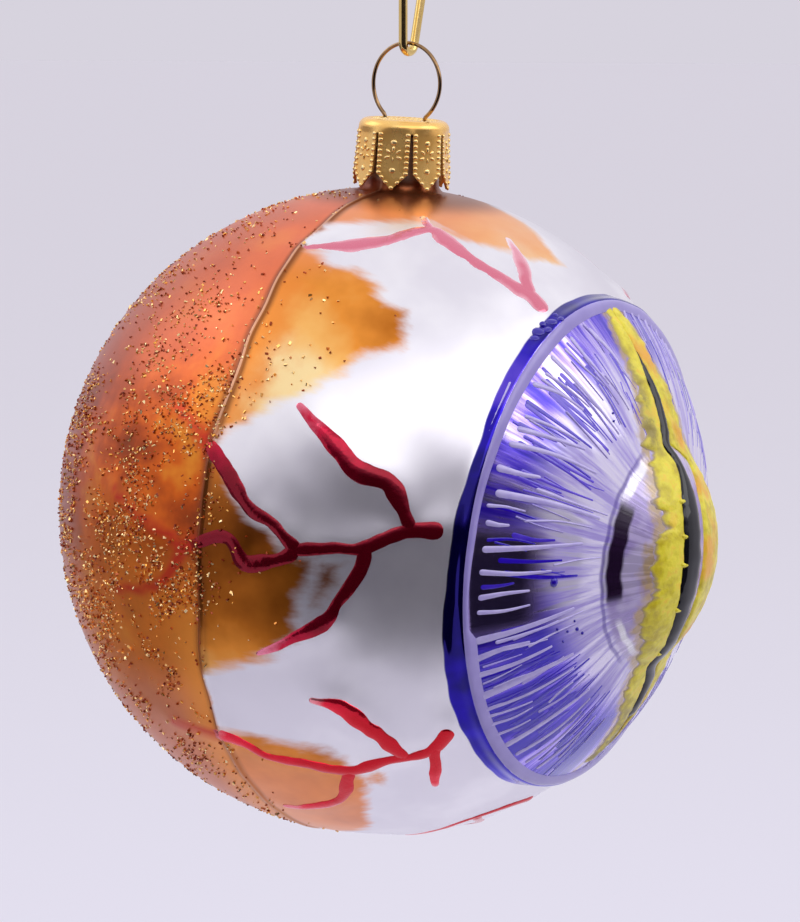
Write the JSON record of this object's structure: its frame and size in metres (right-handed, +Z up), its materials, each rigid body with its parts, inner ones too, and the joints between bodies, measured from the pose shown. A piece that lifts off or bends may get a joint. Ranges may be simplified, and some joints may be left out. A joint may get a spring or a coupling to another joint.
{
  "type": "hanging glass eyeball ornament",
  "caption": "Hand-painted blown glass eyeball ornament with a raised iris and slit pupil, red vessels, a gold crown cap, a spring-wire ring and a wire hook.",
  "frame": {"origin": "inner crown of the hook's upper arch, where it hangs on a branch, straight above the ring's seat", "axes": "+Z up, -Y the way the eye looks, +X to the side away from the pictured vessels"},
  "size_m": [0.0814, 0.0842, 0.133],
  "materials": {
    "hook_wire": "bright pale gold plating on steel wire",
    "spring_wire": "bright pale gold plating on thin spring wire",
    "stamped_cap": "warm gold lacquer on stamped sheet, with raised beads",
    "silvered_glass": "silvered inside, with satin pearl white, amber and violet lacquer and amber glitter outside",
    "lavender_enamel": "glossy raised paint line",
    "yellow_enamel": "thick feathered paint, half gloss",
    "black_enamel": "thick high gloss paint",
    "crimson_enamel": "glossy translucent crimson paint",
    "red_enamel": "glossy translucent red paint",
    "pink_enamel": "thin coral pink paint"
  },
  "bodies": {
    "hook": {"ornament_hook": "hook_wire"},
    "loop": {"hanger_wire": "spring_wire"},
    "cap": {"crown_cap": "stamped_cap"},
    "globe": {"glass_globe": "silvered_glass", "iris_rim_enamel": "lavender_enamel", "pupil_border_enamel": "yellow_enamel", "pupil_slit_enamel": "black_enamel", "side_vessel_enamel": "crimson_enamel", "lower_vessel_enamel": "red_enamel", "top_vessel_enamel": "pink_enamel", "under_vessel_enamel": "red_enamel", "far_top_vessel_enamel": "pink_enamel", "far_side_vessel_enamel": "crimson_enamel", "far_low_vessel_enamel": "red_enamel"}
  },
  "joints": [
    {"name": "ring_swing", "type": "hinge", "parent": "hook", "child": "loop", "pos_m": [0, 0, -0.03545], "axis": [0.9973, -0.0732, 0], "range_deg": [-75, 75]},
    {"name": "cap_rock", "type": "hinge", "parent": "loop", "child": "cap", "pos_m": [0, 0.00059, -0.04371], "axis": [-0.0732, -0.9953, -0.0626], "range_deg": [-6, 6]},
    {"name": "cap_pull", "type": "slide", "parent": "cap", "child": "globe", "axis": [0, 0.0628, -0.998], "range_m": [0, 0.014]}
  ]
}
